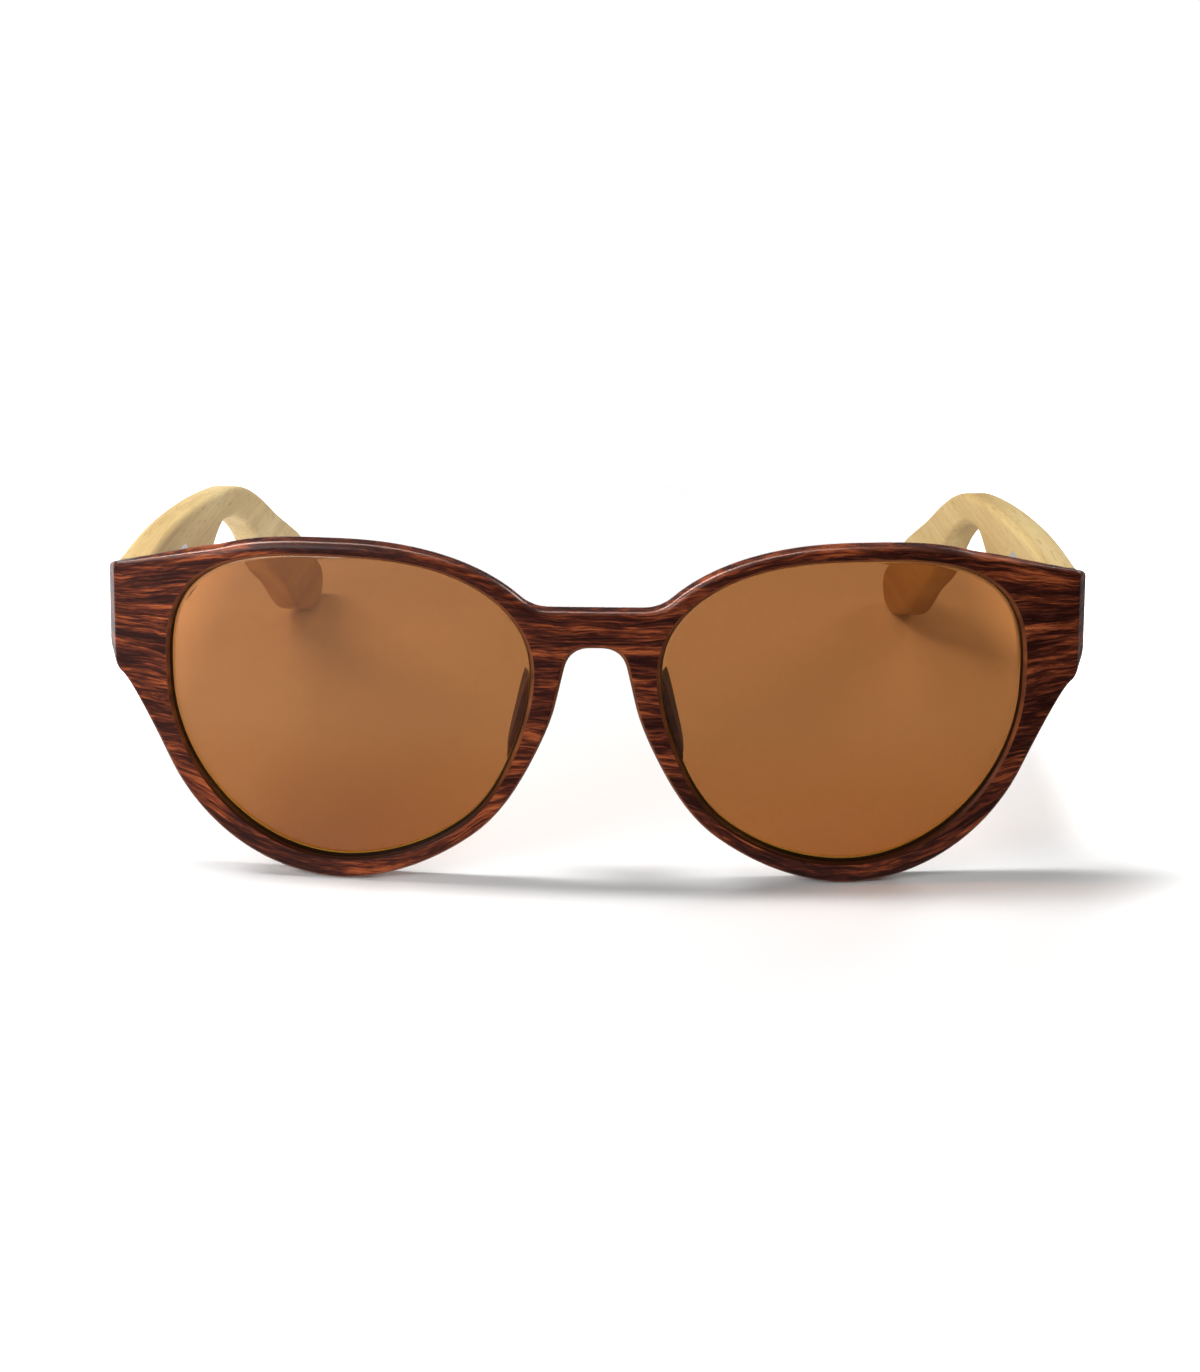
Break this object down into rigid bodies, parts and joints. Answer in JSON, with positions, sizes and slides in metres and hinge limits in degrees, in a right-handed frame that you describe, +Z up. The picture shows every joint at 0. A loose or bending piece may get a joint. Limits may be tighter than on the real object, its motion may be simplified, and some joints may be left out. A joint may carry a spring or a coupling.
{
  "type": "sunglasses",
  "caption": "Rounded sunglasses with a moulded wood-look front and built-in nose pads, brown lenses set in its rims, and flat bamboo temples that fold on spring hinges.",
  "frame": {"origin": "middle of the footprint of the open sunglasses, on the table they stand on", "axes": "+Z up from the table, +Y from the front back to the temple tips, +X towards the wearer's left"},
  "size_m": [0.1456, 0.1482, 0.0525],
  "materials": {
    "rosewood_plastic": "polished, with a dark red-brown wood grain",
    "brown_lens": "smooth, evenly tinted brown",
    "bamboo": "sanded and clear-coated",
    "nickel": "nickel plated, satin",
    "steel": "bright"
  },
  "bodies": {
    "front": {"front_frame": "rosewood_plastic", "lens_left": "brown_lens", "lens_right": "brown_lens", "front_hinge_left": "nickel", "front_hinge_right": "nickel", "hinge_screw_left": "steel", "hinge_screw_right": "steel"},
    "left_slider": {"hinge_slider_left": "nickel", "slider_collar_left": "steel"},
    "left_temple": {"temple_left": "bamboo", "hinge_housing_left": "nickel", "lock_bush_left": "steel", "hinge_spring_left": "steel", "housing_screws_left": "steel"},
    "right_slider": {"hinge_slider_right": "nickel", "slider_collar_right": "steel"},
    "right_temple": {"temple_right": "bamboo", "hinge_housing_right": "nickel", "lock_bush_right": "steel", "hinge_spring_right": "steel", "housing_screws_right": "steel"}
  },
  "joints": [
    {"name": "fold_left", "type": "hinge", "parent": "front", "child": "left_slider", "pos_m": [0.0645, -0.06204, 0.04035], "axis": [0, 0, 1], "range_deg": [0, 85.5]},
    {"name": "flex_left", "type": "slide", "parent": "left_slider", "child": "left_temple", "axis": [-0.0785, 0.9969, 0], "range_m": [0, 0.0012], "stiffness_N_per_m": 1000, "springref_m": -0.003, "deforming": ["hinge_spring_left"]},
    {"name": "fold_right", "type": "hinge", "parent": "front", "child": "right_slider", "pos_m": [-0.0645, -0.06204, 0.04035], "axis": [0, 0, -1], "range_deg": [0, 79]},
    {"name": "flex_right", "type": "slide", "parent": "right_slider", "child": "right_temple", "axis": [0.0785, 0.9969, 0], "range_m": [0, 0.0012], "stiffness_N_per_m": 1000, "springref_m": -0.003, "deforming": ["hinge_spring_right"]}
  ]
}
